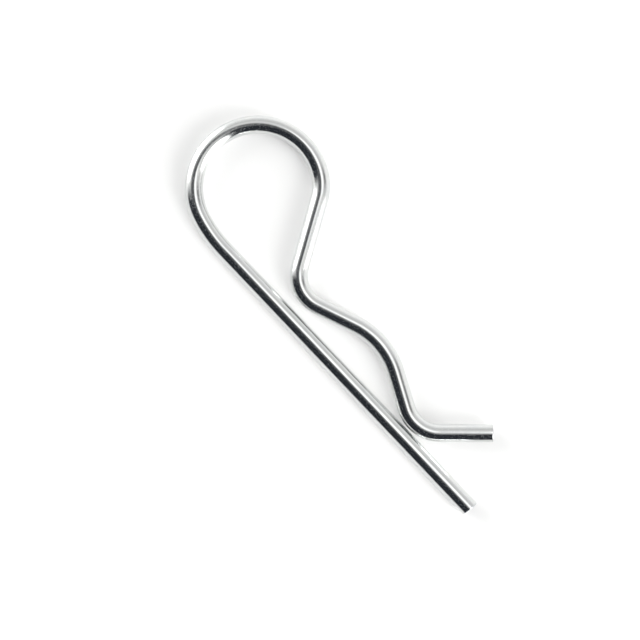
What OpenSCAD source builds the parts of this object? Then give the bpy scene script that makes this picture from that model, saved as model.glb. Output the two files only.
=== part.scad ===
// Hitch clip, also called an R clip: one length of round spring wire, bent in one plane.
// The straight leg goes through the cross hole of a shaft. The wavy leg springs over the
// outside of the shaft, and its hump seats there.
// +X points along the straight leg to its free tip, +Y to the wavy leg, and +Z is square to
// the clip. The origin is on the straight leg's axis, where the held shaft's axis crosses it.
// Bend radii are measured to the wire's centre. Slopes are measured from the straight leg.

/* [Wire] */
// Diameter of the round wire
wire_d = 3; // [2:0.1:4]
// Radius of the edge that the shear rolls over at each cut end
edge_r = 0.25; // [0.1:0.05:0.4]

/* [Straight leg] */
// Length from the held shaft's axis to the free tip
leg_reach = 30.7; // [24:0.1:40]
// Angle of the tip's cut, off square
tip_cut = 7; // [0:0.5:10]

/* [Loop] */
// Bend radius where the leg eases into the loop
lead_in_r = 22.6; // [16:0.1:30]
// Turn of that easing bend
lead_in_turn = 16.5; // [8:0.5:24]
// Inside diameter of the loop
loop_d = 18; // [15:0.1:24]
// Turn of the loop at that diameter
loop_turn = 195; // [180:1:205]
// Bend radius of the shoulder, between the loop and the neck
shoulder_r = 8.3; // [5:0.1:12]

/* [Neck and pinch] */
// Slope of the neck, which comes down from the loop
neck_slope = 59.5; // [50:0.5:70]
// Bend radius of the pinch
pinch_r = 5.5; // [3:0.1:8]
// Clear gap between the legs at the pinch
pinch_gap = 1.45; // [0.5:0.05:2.5]

/* [Hump] */
// Diameter of the shaft that the clip holds
shaft_d = 13; // [10:0.1:16]
// Slope up to the hump
rise_slope = 20.3; // [15:0.1:30]
// Bend radius of the hump
hump_r = 12.9; // [8:0.1:16]
// Slope down to the toe
fall_slope = 26.9; // [20:0.1:35]

/* [Toe and tail] */
// Bend radius of the toe
toe_r = 5.8; // [3:0.1:8]
// Clear gap between the legs at the toe
toe_gap = 0.2; // [0.05:0.05:1]
// Slope of the tail, which flares away from the leg as a lead-in
flare_slope = 46.5; // [30:0.5:60]
// Length of the straight tail
tail_length = 8.7; // [5:0.1:14]
// Angle of the tail's cut, off square
tail_cut = 2; // [0:0.5:10]

/* [Hidden] */
$fn = 64;

// Every two stretches of wire stop this short of where they meet, and a ball joins them
// there. It is this much proud of the wire.
joint_gap = 0.03;
joint_proud = 0.002;

wire_r = wire_d / 2;
loop_r = loop_d / 2 + wire_r;
// Heights of the wire's centre over the leg's axis, where it runs level with the leg
pinch_y = wire_d + pinch_gap;
crest_y = shaft_d / 2 + wire_r;
toe_y = wire_d + toe_gap;

// How far a bend carries the wire as its heading turns from one angle to another
function bend_step(r, from, to) =
    sign(to - from) * r * [sin(to) - sin(from), cos(from) - cos(to)];
// How much a bend rises between a slope and the level point at its middle
function bend_rise(r, slope) = r * (1 - cos(slope));
// Headings through the loop. The leg runs into it along -X.
lead_in_end = 180 - lead_in_turn;
loop_end = lead_in_end - loop_turn;
loop_step = bend_step(lead_in_r, 180, lead_in_end)
    + bend_step(loop_r, lead_in_end, loop_end)
    + bend_step(shoulder_r, loop_end, -neck_slope);

// The straights between the bends take up what is left between the level points
neck_length = (loop_step.y - pinch_y - bend_rise(pinch_r, neck_slope)) / sin(neck_slope);
rise_length = (crest_y - bend_rise(hump_r, rise_slope)
    - pinch_y - bend_rise(pinch_r, rise_slope)) / sin(rise_slope);
fall_length = (crest_y - bend_rise(hump_r, fall_slope)
    - toe_y - bend_rise(toe_r, fall_slope)) / sin(fall_slope);

// From the start of the loop to the hump's crest, which stands over the origin
crest_x = loop_step.x
    + neck_length * cos(neck_slope)
    + bend_step(pinch_r, -neck_slope, rise_slope).x
    + rise_length * cos(rise_slope)
    + bend_step(hump_r, rise_slope, 0).x;
leg_length = leg_reach + crest_x;

// Each bend and the straight after it: [bend radius, turn to the left, straight's length]
BENDS = [
    [lead_in_r, -lead_in_turn, 0],
    [loop_r, -loop_turn, 0],
    [shoulder_r, -neck_slope - loop_end, neck_length],
    [pinch_r, rise_slope + neck_slope, rise_length],
    [hump_r, -fall_slope - rise_slope, fall_length],
    [toe_r, flare_slope + fall_slope, tail_length - wire_d],
];

// The ball that joins two stretches of wire
module joint() {
    rotate([0, 90, 0])
        sphere(r = wire_r + joint_proud);
}

// A straight stretch along X, with a joint at its end
module straight(length) {
    translate([joint_gap, 0, 0])
        rotate([0, 90, 0])
            cylinder(d = wire_d, h = length - 2 * joint_gap);
    translate([length, 0, 0])
        joint();
}

// A bend that starts along X at the origin, with a joint and the rest of the wire at its end
module bend(r, turn) {
    side = sign(turn);
    gap_angle = joint_gap / r * 180 / PI;
    translate([0, side * r, 0]) {
        rotate_extrude(
            angle = abs(turn) - 2 * gap_angle,
            start = min(-side * 90, turn - side * 90) + gap_angle
        )
            translate([r, 0])
                circle(d = wire_d);
        rotate([0, 0, turn])
            translate([0, -side * r, 0]) {
                joint();
                children();
            }
    }
}

// Bend i, and all the wire beyond it
module wire_from(i) {
    length = BENDS[i][2];
    bend(BENDS[i][0], BENDS[i][1]) {
        if (length > 0)
            straight(length);
        translate([length, 0, 0])
            if (i + 1 < len(BENDS))
                wire_from(i + 1);
            else
                cut_end(-1, tail_cut);
    }
}

// Half section of a cut end, with its edge rolled over
module end_section() {
    translate([0, joint_gap]) {
        square([wire_r - edge_r, wire_d - joint_gap]);
        square([wire_r, wire_d - edge_r - joint_gap]);
    }
    translate([wire_r - edge_r, wire_d - edge_r])
        circle(r = edge_r);
}

// The last stretch of wire, one diameter long. Its cut leans, and the side that the blade
// met first is the longer one and keeps its rolled edge: 1 is the left side, -1 the right.
module cut_end(side, cut) {
    difference() {
        rotate([0, 90, 0])
            rotate_extrude()
                end_section();
        translate([wire_d, side * (wire_r - edge_r), 0])
            rotate([0, 0, -side * cut])
                translate([0, -2 * wire_d, -wire_d])
                    cube([wire_d, 4 * wire_d, 2 * wire_d]);
    }
}

module clip_wire() {
    length = leg_length - wire_d;
    color("silver")
        translate([leg_reach - wire_d, 0, 0]) {
            cut_end(1, tip_cut);
            joint();
            rotate([0, 0, 180]) {
                straight(length);
                translate([length, 0, 0])
                    wire_from(0);
            }
        }
}

clip_wire();
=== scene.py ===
# Hitch clip: one length of bright zinc-plated spring wire, lying flat on a pale studio table.
import math
import bpy
import numpy as np
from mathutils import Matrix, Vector


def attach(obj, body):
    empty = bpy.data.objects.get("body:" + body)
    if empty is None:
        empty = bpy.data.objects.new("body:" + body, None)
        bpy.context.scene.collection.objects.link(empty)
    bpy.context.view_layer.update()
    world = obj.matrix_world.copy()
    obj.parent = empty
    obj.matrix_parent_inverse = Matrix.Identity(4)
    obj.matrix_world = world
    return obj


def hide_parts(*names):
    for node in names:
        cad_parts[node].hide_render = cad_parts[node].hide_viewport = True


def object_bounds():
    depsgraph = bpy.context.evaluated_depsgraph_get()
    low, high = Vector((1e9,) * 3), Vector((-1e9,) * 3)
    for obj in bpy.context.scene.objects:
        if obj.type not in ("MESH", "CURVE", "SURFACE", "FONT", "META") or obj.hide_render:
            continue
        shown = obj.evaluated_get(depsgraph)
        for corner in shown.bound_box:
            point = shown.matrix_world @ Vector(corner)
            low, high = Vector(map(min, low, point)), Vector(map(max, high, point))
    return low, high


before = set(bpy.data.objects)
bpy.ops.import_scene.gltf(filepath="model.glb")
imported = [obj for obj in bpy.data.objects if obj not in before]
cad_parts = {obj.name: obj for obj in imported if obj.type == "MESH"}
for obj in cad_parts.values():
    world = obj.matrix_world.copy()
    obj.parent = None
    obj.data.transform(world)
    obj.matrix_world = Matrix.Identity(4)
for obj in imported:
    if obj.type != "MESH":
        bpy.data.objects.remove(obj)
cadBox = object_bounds()
millimetre = 0.001


def linearColour(hexCode):
    # sRGB hex to linear: c / 12.92 below 0.04045, else ((c + 0.055) / 1.055) ^ 2.4
    channels = [int(hexCode[i:i + 2], 16) / 255 for i in (0, 2, 4)]
    return [c / 12.92 if c <= 0.04045 else ((c + 0.055) / 1.055) ** 2.4 for c in channels] + [1.0]


def addNode(tree, kind, settings=None, **links):
    # adds a node, sets its properties, then fills its inputs: a socket is linked, a value is set
    node = tree.nodes.new(kind)
    for name, value in (settings or {}).items():
        setattr(node, name, value)
    for name, value in links.items():
        key = int(name[2:]) if name.startswith("in") and name[2:].isdigit() else name.replace("_", " ")
        if isinstance(value, bpy.types.NodeSocket):
            tree.links.new(value, node.inputs[key])
        else:
            node.inputs[key].default_value = value
    return node


def smooth(x):
    # 3x^2 - 2x^3 between 0 and 1, flat outside
    x = np.clip(x, 0, 1)
    return x * x * (3 - 2 * x)


# The wire is up to 0.012 mm inside the CAD's, so that no part of it stands proud.
clipWire = {
    "reach": cadBox[1][0] - 0.012 * millimetre,    # free tip of the straight leg, along +X
    "radius": 1.494 * millimetre,
    "legLength": 59.036 * millimetre,
    "bends": (                          # bend radius mm, turn to the left in degrees, straight after it mm
        (22.6, -16.5, 0),               # leg eases into the loop
        (10.495, -195, 0),              # loop, 18 mm across inside
        (8.3, -28, 11.52),              # shoulder, then the neck
        (5.5, 79.8, 6.94),              # pinch, then the rise
        (12.9, -47.2, 6.142),           # hump over the shaft
        (5.8, 73.4, 8.7),               # toe, then the flared tail
    ),
    "ease": 1.2 * millimetre,           # length over which the wire takes up a bend
    "step": 0.02 * millimetre,          # along the line that the wire follows
    "spacing": 0.2 * millimetre,        # between rings
    "around": 80,                       # points in a ring
    "tipCut": 7,                        # degrees off square
    "tailCut": 2,
    "rollLength": 0.2 * millimetre,     # how far the blade rolled the edge over
    "crispEdge": 0.03 * millimetre,     # edge on the side where the cut broke out
    "burr": 0.05 * millimetre,          # lip left on that side
    "burrWidth": 0.08 * millimetre,
    "faceRings": (0.2, 0.4, 0.6, 0.8, 0.93),    # rings of a cut face, in shares of its radius
    "rollRings": 9,                     # rings over the rolled edge
    "leanTakenUp": 3 * millimetre,      # length over which the rings turn from the cut's lean to square
    "bodyStart": 0.32 * millimetre,     # from the end to the first ring of the body
}


def wireLine(wire):
    # the heading turns evenly through each bend and is then averaged over the ease length;
    # the place is the running sum of (cos heading, sin heading) * step, from the free tip
    step = wire["step"]
    lengths, turns = [wire["legLength"]], [0]
    for bendRadius, turn, straight in wire["bends"]:
        lengths += [bendRadius * millimetre * abs(math.radians(turn)), straight * millimetre]
        turns += [math.radians(turn), 0]
    marks = np.concatenate([[0], np.cumsum(lengths)])
    headings = math.pi + np.concatenate([[0], np.cumsum(turns)])
    along = np.linspace(0, marks[-1], int(marks[-1] / step) + 1)
    heading = np.interp(along, marks, headings)
    window = int(wire["ease"] / step) | 1
    heading = np.convolve(np.pad(heading, window // 2, mode="edge"), np.ones(window) / window, "valid")
    between = (heading[1:] + heading[:-1]) / 2
    gap = along[1] - along[0]
    x = wire["reach"] + np.concatenate([[0], np.cumsum(np.cos(between))]) * gap
    y = np.concatenate([[0], np.cumsum(np.sin(between))]) * gap
    return along, x, y, heading


def endRings(wire, angle, cut):
    # one cut end, from the middle of the face outwards: rings of the flat face grow to the edge, and
    # a quarter ellipse takes them over the edge. Its size goes from a crisp edge to the blade's roll
    # round the wire. The face leans by tan(cut), and a lip stands where the cut broke out. The blade's
    # side is the right of the wire's heading, at angle 180.
    radius = wire["radius"]
    rolled = smooth(0.5 - 0.5 * np.cos(angle))[None, :]
    edge = wire["crispEdge"] + (wire["rollLength"] - wire["crispEdge"]) * rolled
    faceShare = np.array(wire["faceRings"])[:, None]
    turn = np.radians(np.linspace(90, 0, wire["rollRings"]))[:, None]
    faceOut = faceShare * (radius - edge)
    rollOut = radius - edge * (1 - np.cos(turn))
    out = np.concatenate([faceOut, rollOut])
    inset = np.concatenate([faceOut * 0, edge * (1 - np.sin(turn))])
    lip = wire["burr"] * (1 - rolled) ** 6
    inset = inset - lip * np.exp(-((out - radius + wire["crispEdge"]) / wire["burrWidth"]) ** 2)
    lean = math.tan(math.radians(cut)) * (radius - edge.max() + out * np.cos(angle))
    # bare steel on the face and the first half of the roll, then plate
    bare = np.concatenate([faceShare[:, 0] * 0 + 1, smooth(np.linspace(2, 0, wire["rollRings"]))])
    return out, inset, lean, bare


def wireRings(wire):
    # surface(along, angle) = line(along) + out * (cos angle * left + sin angle * up)
    along, x, y, heading = wireLine(wire)
    total = along[-1]
    angle = np.arange(wire["around"]) * 2 * math.pi / wire["around"]
    outTip, inTip, leanTip, bareTip = endRings(wire, angle, wire["tipCut"])
    outTail, inTail, leanTail, bareTail = endRings(wire, angle, wire["tailCut"])
    start = wire["bodyStart"]
    stations = np.linspace(start, total - start, int((total - 2 * start) / wire["spacing"]) + 1)
    # the body takes up the lean of each cut over the first few millimetres
    body = stations[:, None] + 0 * angle
    body = (body + leanTip[-1] * smooth(1 - body / wire["leanTakenUp"])
            - leanTail[-1] * smooth(1 - (total - body) / wire["leanTakenUp"]))
    place = np.concatenate([inTip + leanTip, body, (total - inTail - leanTail)[::-1]])
    out = np.concatenate([outTip, wire["radius"] + 0 * body, outTail[::-1]])
    bare = np.concatenate([bareTip, 0 * stations, bareTail[::-1]])
    # rings past either end of the line carry straight on
    held = np.clip(place, 0, total)
    turned = np.interp(held, along, heading)
    beyond = place - held
    px = np.interp(held, along, x) + beyond * np.cos(turned) - out * np.cos(angle) * np.sin(turned)
    py = np.interp(held, along, y) + beyond * np.sin(turned) + out * np.cos(angle) * np.cos(turned)
    return place, out, bare, np.stack([px, py, out * np.sin(angle)], -1)


def sweptWire(wire):
    # quads join each ring to the next, and a fan of triangles closes the middle of each cut face
    place, out, bare, grid = wireRings(wire)
    rings, around = place.shape
    points = np.concatenate([grid.reshape(-1, 3), [grid[0].mean(0), grid[-1].mean(0)]])
    ring, column = np.meshgrid(np.arange(rings - 1), np.arange(around), indexing="ij")
    nextColumn = (column + 1) % around
    quads = np.stack([ring * around + column, ring * around + nextColumn,
                      (ring + 1) * around + nextColumn, (ring + 1) * around + column], -1).reshape(-1, 4)
    c = np.arange(around)
    n = (c + 1) % around
    last = (rings - 1) * around
    tipFan = np.stack([n, c, c * 0 + rings * around], -1)
    tailFan = np.stack([last + c, last + n, c * 0 + rings * around + 1], -1)
    mesh = bpy.data.meshes.new("clipWire")
    mesh.from_pydata(points.tolist(), [], quads.tolist() + tipFan.tolist() + tailFan.tolist())

    # UV in millimetres: u runs along the wire and in over the cut faces, v round it
    run = place - np.where(np.arange(rings)[:, None] < rings / 2, 1, -1) * (wire["radius"] - out)
    columnWidth = 2 * math.pi * wire["radius"] / around
    corners = [(ring, column, column), (ring, nextColumn, column + 1),
               (ring + 1, nextColumn, column + 1), (ring + 1, column, column)]
    u = np.stack([run[r, k] for r, k, _ in corners], -1).reshape(-1)
    v = np.stack([a for _, _, a in corners], -1).reshape(-1) * columnWidth
    fanU = np.repeat([run[0, 0], run[-1, 0]], 3 * around)
    fanV = np.concatenate([np.stack([c + 1, c, c + 0.5], -1).reshape(-1),
                           np.stack([c, c + 1, c + 0.5], -1).reshape(-1)]) * columnWidth
    uv = np.stack([np.concatenate([u, fanU]), np.concatenate([v, fanV])], -1) / millimetre
    mesh.uv_layers.new(name="alongWire").data.foreach_set("uv", uv.reshape(-1).astype(np.float32))
    cutFace = np.concatenate([np.repeat(bare, around), [1, 1]]).astype(np.float32)
    mesh.attributes.new("cutFace", "FLOAT", "POINT").data.foreach_set("value", cutFace)
    mesh.polygons.foreach_set("use_smooth", np.ones(len(mesh.polygons), bool))
    mesh.update()
    piece = bpy.data.objects.new("bentWire", mesh)
    bpy.context.collection.objects.link(piece)
    return piece


# Bright zinc plate over drawn spring steel: a near mirror, faintly cooler in patches. The plate is pitted
# finely and unevenly, which speckles its dark reflections, the drawing die has left lines along the
# wire, and the cut ends are duller bare steel.
zincPlate = {
    "plate": "e4e5e2", "plateCool": "d8dadc", "cutSteel": "8d9094",
    "roughness": 0.09, "roughnessSpread": 0.09, "cutRoughness": 0.40,
    "wearFrom": 0.1, "wearTo": 0.45,    # levels of patches times lines where roughness starts and ends
    "pitSpacing": 0.17 * millimetre,    # real pits are finer; drawn as coarse as they show
    "pitShare": 0.45,                   # of the places where a pit could be
    "pitFloor": 0.08, "pitRim": 0.38,   # its radii, in shares of the spacing
    "pitDepth": 0.004 * millimetre, "pitRoughness": 0.26,
    "grainSize": 0.14 * millimetre, "grainHeight": 0.0022 * millimetre,
    "lineSpacing": 0.14,                # mm round the wire between drawing lines
    "lineLength": 9,                    # mm along it
    "lineDepth": 0.002 * millimetre,
    "patchSize": 2.5 * millimetre,
}


def zincPlateMaterial(m):
    material = bpy.data.materials.new("brightZincPlate")
    material.use_nodes = True
    tree = material.node_tree
    shader = tree.nodes["Principled BSDF"]
    shader.inputs["Metallic"].default_value = 1
    place = addNode(tree, "ShaderNodeTexCoord").outputs["Object"]
    wireUv = addNode(tree, "ShaderNodeUVMap", {"uv_map": "alongWire"}).outputs["UV"]
    cut = addNode(tree, "ShaderNodeAttribute", {"attribute_name": "cutFace"}).outputs["Fac"]
    patches = addNode(tree, "ShaderNodeTexNoise", Vector=place, Scale=1 / m["patchSize"], Detail=3)
    grain = addNode(tree, "ShaderNodeTexNoise", Vector=place, Scale=1 / m["grainSize"], Detail=2)
    cells = addNode(tree, "ShaderNodeTexVoronoi", Vector=place, Scale=1 / m["pitSpacing"])
    stretched = addNode(tree, "ShaderNodeMapping", Vector=wireUv,
                        Scale=(1 / m["lineLength"], 1 / m["lineSpacing"], 1))
    lines = addNode(tree, "ShaderNodeTexNoise", Vector=stretched.outputs[0], Scale=1, Detail=2)
    # a pit is the middle of a cell, in the share of cells that have one
    hollow = addNode(tree, "ShaderNodeMapRange", {"interpolation_type": "SMOOTHSTEP"},
                     Value=cells.outputs["Distance"], From_Min=m["pitFloor"], From_Max=m["pitRim"],
                     To_Min=1, To_Max=0)
    chance = addNode(tree, "ShaderNodeSeparateColor", Color=cells.outputs["Color"])
    chosen = addNode(tree, "ShaderNodeMath", {"operation": "LESS_THAN"},
                     in0=chance.outputs[0], in1=m["pitShare"])
    pit = addNode(tree, "ShaderNodeMath", {"operation": "MULTIPLY"},
                  in0=hollow.outputs[0], in1=chosen.outputs[0])
    # the plate's colour, cooler in patches, and bare steel on the cuts
    plate = addNode(tree, "ShaderNodeMix", {"data_type": "RGBA"}, Factor=patches.outputs["Fac"],
                    in6=linearColour(m["plate"]), in7=linearColour(m["plateCool"]))
    tone = addNode(tree, "ShaderNodeMix", {"data_type": "RGBA"}, Factor=cut,
                   in6=plate.outputs[2], in7=linearColour(m["cutSteel"]))
    tree.links.new(tone.outputs[2], shader.inputs["Base Color"])
    # roughness: patches and lines on the plate, more in the pits, and dull on the cuts
    wear = addNode(tree, "ShaderNodeMath", {"operation": "MULTIPLY"}, in0=patches.outputs["Fac"],
                   in1=lines.outputs["Fac"])
    wornRough = addNode(tree, "ShaderNodeMapRange", Value=wear.outputs[0], From_Min=m["wearFrom"],
                        From_Max=m["wearTo"], To_Min=m["roughness"],
                        To_Max=m["roughness"] + m["roughnessSpread"])
    plateRough = addNode(tree, "ShaderNodeMath", {"operation": "MULTIPLY_ADD"}, in0=pit.outputs[0],
                         in1=m["pitRoughness"], in2=wornRough.outputs[0])
    rough = addNode(tree, "ShaderNodeMix", {"data_type": "FLOAT"}, Factor=cut, in2=plateRough.outputs[0],
                    in3=m["cutRoughness"])
    tree.links.new(rough.outputs[0], shader.inputs["Roughness"])
    normal = None
    for height, depth, inward in ((pit, m["pitDepth"], True), (grain, m["grainHeight"], False),
                                  (lines, m["lineDepth"], False)):
        bump = addNode(tree, "ShaderNodeBump", {"invert": inward}, Height=height.outputs[0], Strength=1.0,
                       Distance=depth)
        if normal:
            tree.links.new(normal, bump.inputs["Normal"])
        normal = bump.outputs[0]
    tree.links.new(normal, shader.inputs["Normal"])
    return material


wirePiece = sweptWire(clipWire)
wirePiece.data.materials.append(zincPlateMaterial(zincPlate))
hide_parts("clip_wire")
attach(wirePiece, "root")
print("wire:", len(wirePiece.data.polygons), "faces")

# A sheet of pale satin laminate, with a little glow of its own that keeps the shadows on it pale
table = {"size": 8.0, "colour": "e1e1e0", "glow": 0.27, "roughness": 0.13}
floorHeight = cadBox[0][2]
half = table["size"] / 2
floorMesh = bpy.data.meshes.new("tableTop")
floorMesh.from_pydata([(-half, -half, floorHeight), (half, -half, floorHeight),
                       (half, half, floorHeight), (-half, half, floorHeight)], [], [(0, 1, 2, 3)])
tableTop = bpy.data.objects.new("tableTop", floorMesh)
bpy.context.collection.objects.link(tableTop)
laminate = bpy.data.materials.new("paleSatinLaminate")
laminate.use_nodes = True
laminateShader = laminate.node_tree.nodes["Principled BSDF"]
laminateShader.inputs["Base Color"].default_value = linearColour(table["colour"])
laminateShader.inputs["Roughness"].default_value = table["roughness"]
laminateShader.inputs["Emission Color"].default_value = (1, 1, 1, 1)
laminateShader.inputs["Emission Strength"].default_value = table["glow"]
floorMesh.materials.append(laminate)

view = {
    "middle": (-8.98 * millimetre, 3.47 * millimetre, 0),    # what the camera looks straight down on
    "roll": 46.5,                                            # degrees that its right leans from +X to +Y
    "width": 105.5 * millimetre,                             # shown across the view
    "lens": 100,
}
camera = bpy.data.objects.new("camera", bpy.data.cameras.new("camera"))
camera.data.lens = view["lens"]
camera.data.clip_start = 0.01
camera.data.clip_end = 50
cameraHeight = view["width"] * view["lens"] / camera.data.sensor_width
camera.location = Vector(view["middle"]) + Vector((0, 0, cameraHeight))
camera.rotation_euler = (0, 0, math.radians(view["roll"]))
bpy.context.collection.objects.link(camera)
bpy.context.scene.camera = camera

# The studio is worked out by direction. A bearing is measured round from the view's right, and a tilt
# down from straight overhead, both in degrees. Radiances are linear. Each thing in it reaches half to
# either side of its bearing, and soft is how far its edges fade.
studio = {
    "pale": ((0, 0.62), (30, 0.78), (46, 0.60), (62, 0.70), (80, 0.92), (90, 0.97)),    # tilt, level
    "paleBlue": 0.995,                  # share of blue in it
    "dark": (0.026, 0.029, 0.035),
    # the unlit side of the room, from the tilt near outwards
    "darkSide": {"bearing": 242, "half": 63, "soft": 7, "near": 12, "edge": 7},
    "cameraDisc": {"bearing": 193, "tilt": 18, "half": 22, "soft": 7, "share": 0.88},    # dark overhead
    # a grey light stand between two tilts
    "stand": {"bearing": 13, "half": 9, "soft": 6, "near": 38, "far": 62, "edge": 5, "grey": 0.25},
    # softboxes that stand on the floor and reach up to the tilt top
    "softboxes": {
        "left": {"bearing": 145, "half": 14, "soft": 16, "top": 53, "topSoft": 10, "radiance": 8.0},
        "right": {"bearing": 323, "half": 15, "soft": 13, "top": 46, "topSoft": 14, "radiance": 10.0},
    },
    # window overhead, in tangents of the tilt: from where to where it reaches right and up the view
    "window": {"right": (0.08, 0.50), "up": (-0.02, 0.40), "soft": 0.035, "radiance": 1.35},
    "strength": 1.12,
    "shownToCamera": (0.9, 0.9, 0.9, 1),
}
world = bpy.data.worlds.new("studio")
bpy.context.scene.world = world
world.use_nodes = True
tree = world.node_tree
direction = addNode(tree, "ShaderNodeTexCoord").outputs["Generated"]


def softEdge(value, edge, soft, before=0.0, after=1.0):
    # goes from before to after as value passes the edge, on a smooth step that is soft wide either side.
    # Where before or after is itself a mask, the result is that mask cut off at this edge.
    return addNode(tree, "ShaderNodeMapRange", {"interpolation_type": "SMOOTHSTEP"}, Value=value,
                   From_Min=edge - soft, From_Max=edge + soft, To_Min=before, To_Max=after).outputs[0]


def degreesFrom(bearing, tilt):
    # angle between a ray and the direction at this bearing and tilt: the arc cosine of their dot product
    turn = math.radians(view["roll"] + bearing)
    lean = math.radians(tilt)
    aim = (math.sin(lean) * math.cos(turn), math.sin(lean) * math.sin(turn), math.cos(lean))
    dot = addNode(tree, "ShaderNodeVectorMath", {"operation": "DOT_PRODUCT"}, in0=direction, in1=aim)
    angle = addNode(tree, "ShaderNodeMath", {"operation": "ARCCOSINE"}, in0=dot.outputs["Value"])
    return addNode(tree, "ShaderNodeMath", {"operation": "DEGREES"}, in0=angle.outputs[0]).outputs[0]


def turnedTo(bearing):
    # a ray's parts along a bearing, across it, and up
    turned = addNode(tree, "ShaderNodeMapping", Vector=direction,
                     Rotation=(0, 0, -math.radians(view["roll"] + bearing)))
    return addNode(tree, "ShaderNodeSeparateXYZ", Vector=turned.outputs[0]).outputs


def bearingBand(band):
    # 1 within half of a bearing and 0 beyond it, with soft edges
    ahead, across, _ = turnedTo(band["bearing"])
    aside = addNode(tree, "ShaderNodeMath", {"operation": "ABSOLUTE"}, in0=across)
    away = addNode(tree, "ShaderNodeMath", {"operation": "ARCTAN2"}, in0=aside.outputs[0], in1=ahead)
    degrees = addNode(tree, "ShaderNodeMath", {"operation": "DEGREES"}, in0=away.outputs[0])
    return softEdge(degrees.outputs[0], band["half"], band["soft"], 1, 0)


overheadAngle = degreesFrom(0, 0)
share = addNode(tree, "ShaderNodeMath", {"operation": "DIVIDE"}, in0=overheadAngle, in1=90.0)
walls = addNode(tree, "ShaderNodeValToRGB", Fac=share.outputs[0])
walls.color_ramp.interpolation = "EASE"
stops = walls.color_ramp.elements
for degrees, _ in studio["pale"][1:-1]:
    stops.new(degrees / 90)
for stop, (degrees, level) in zip(stops, studio["pale"]):
    stop.position = degrees / 90
    stop.color = (level, level, level * studio["paleBlue"], 1)

# each layer of light or dark covers what is under it where its mask is 1
side = studio["darkSide"]
darkSide = softEdge(overheadAngle, side["near"], side["edge"], 0, bearingBand(side))
disc = studio["cameraDisc"]
discAngle = degreesFrom(disc["bearing"], disc["tilt"])
cameraDisc = softEdge(discAngle, disc["half"], disc["soft"], disc["share"], 0)
dark = addNode(tree, "ShaderNodeMath", {"operation": "MAXIMUM"}, in0=darkSide, in1=cameraDisc)
layers = [(dark.outputs[0], studio["dark"])]
for box in studio["softboxes"].values():
    layers.append((softEdge(overheadAngle, box["top"], box["topSoft"], 0, bearingBand(box)),
                   (box["radiance"],) * 3))
stand = studio["stand"]
post = softEdge(overheadAngle, stand["near"], stand["edge"], 0, bearingBand(stand))
post = softEdge(overheadAngle, stand["far"], stand["edge"], post, 0)
layers.append((post, (stand["grey"],) * 3))
window = studio["window"]
right, upward, high = turnedTo(0)
height = addNode(tree, "ShaderNodeMath", {"operation": "MAXIMUM"}, in0=high, in1=0.01)
pane = addNode(tree, "ShaderNodeMath", {"operation": "GREATER_THAN"}, in0=high, in1=0.0).outputs[0]
for part, (low, far) in ((right, window["right"]), (upward, window["up"])):
    spread = addNode(tree, "ShaderNodeMath", {"operation": "DIVIDE"}, in0=part, in1=height.outputs[0])
    pane = softEdge(spread.outputs[0], low, window["soft"], 0, pane)
    pane = softEdge(spread.outputs[0], far, window["soft"], pane, 0)
layers.append((pane, (window["radiance"],) * 3))
light = walls.outputs["Color"]
for mask, colour in layers:
    light = addNode(tree, "ShaderNodeMix", {"data_type": "RGBA"}, Factor=mask, in6=light,
                    in7=(*colour, 1)).outputs[2]
# the camera itself sees only the plain pale backdrop
seen = addNode(tree, "ShaderNodeLightPath").outputs["Is Camera Ray"]
shown = addNode(tree, "ShaderNodeMix", {"data_type": "RGBA"}, Factor=seen, in6=light,
                in7=studio["shownToCamera"])
tree.links.new(shown.outputs[2], tree.nodes["Background"].inputs["Color"])
tree.nodes["Background"].inputs["Strength"].default_value = studio["strength"]
bpy.context.scene.view_settings.view_transform = "Standard"
print("stage ready")
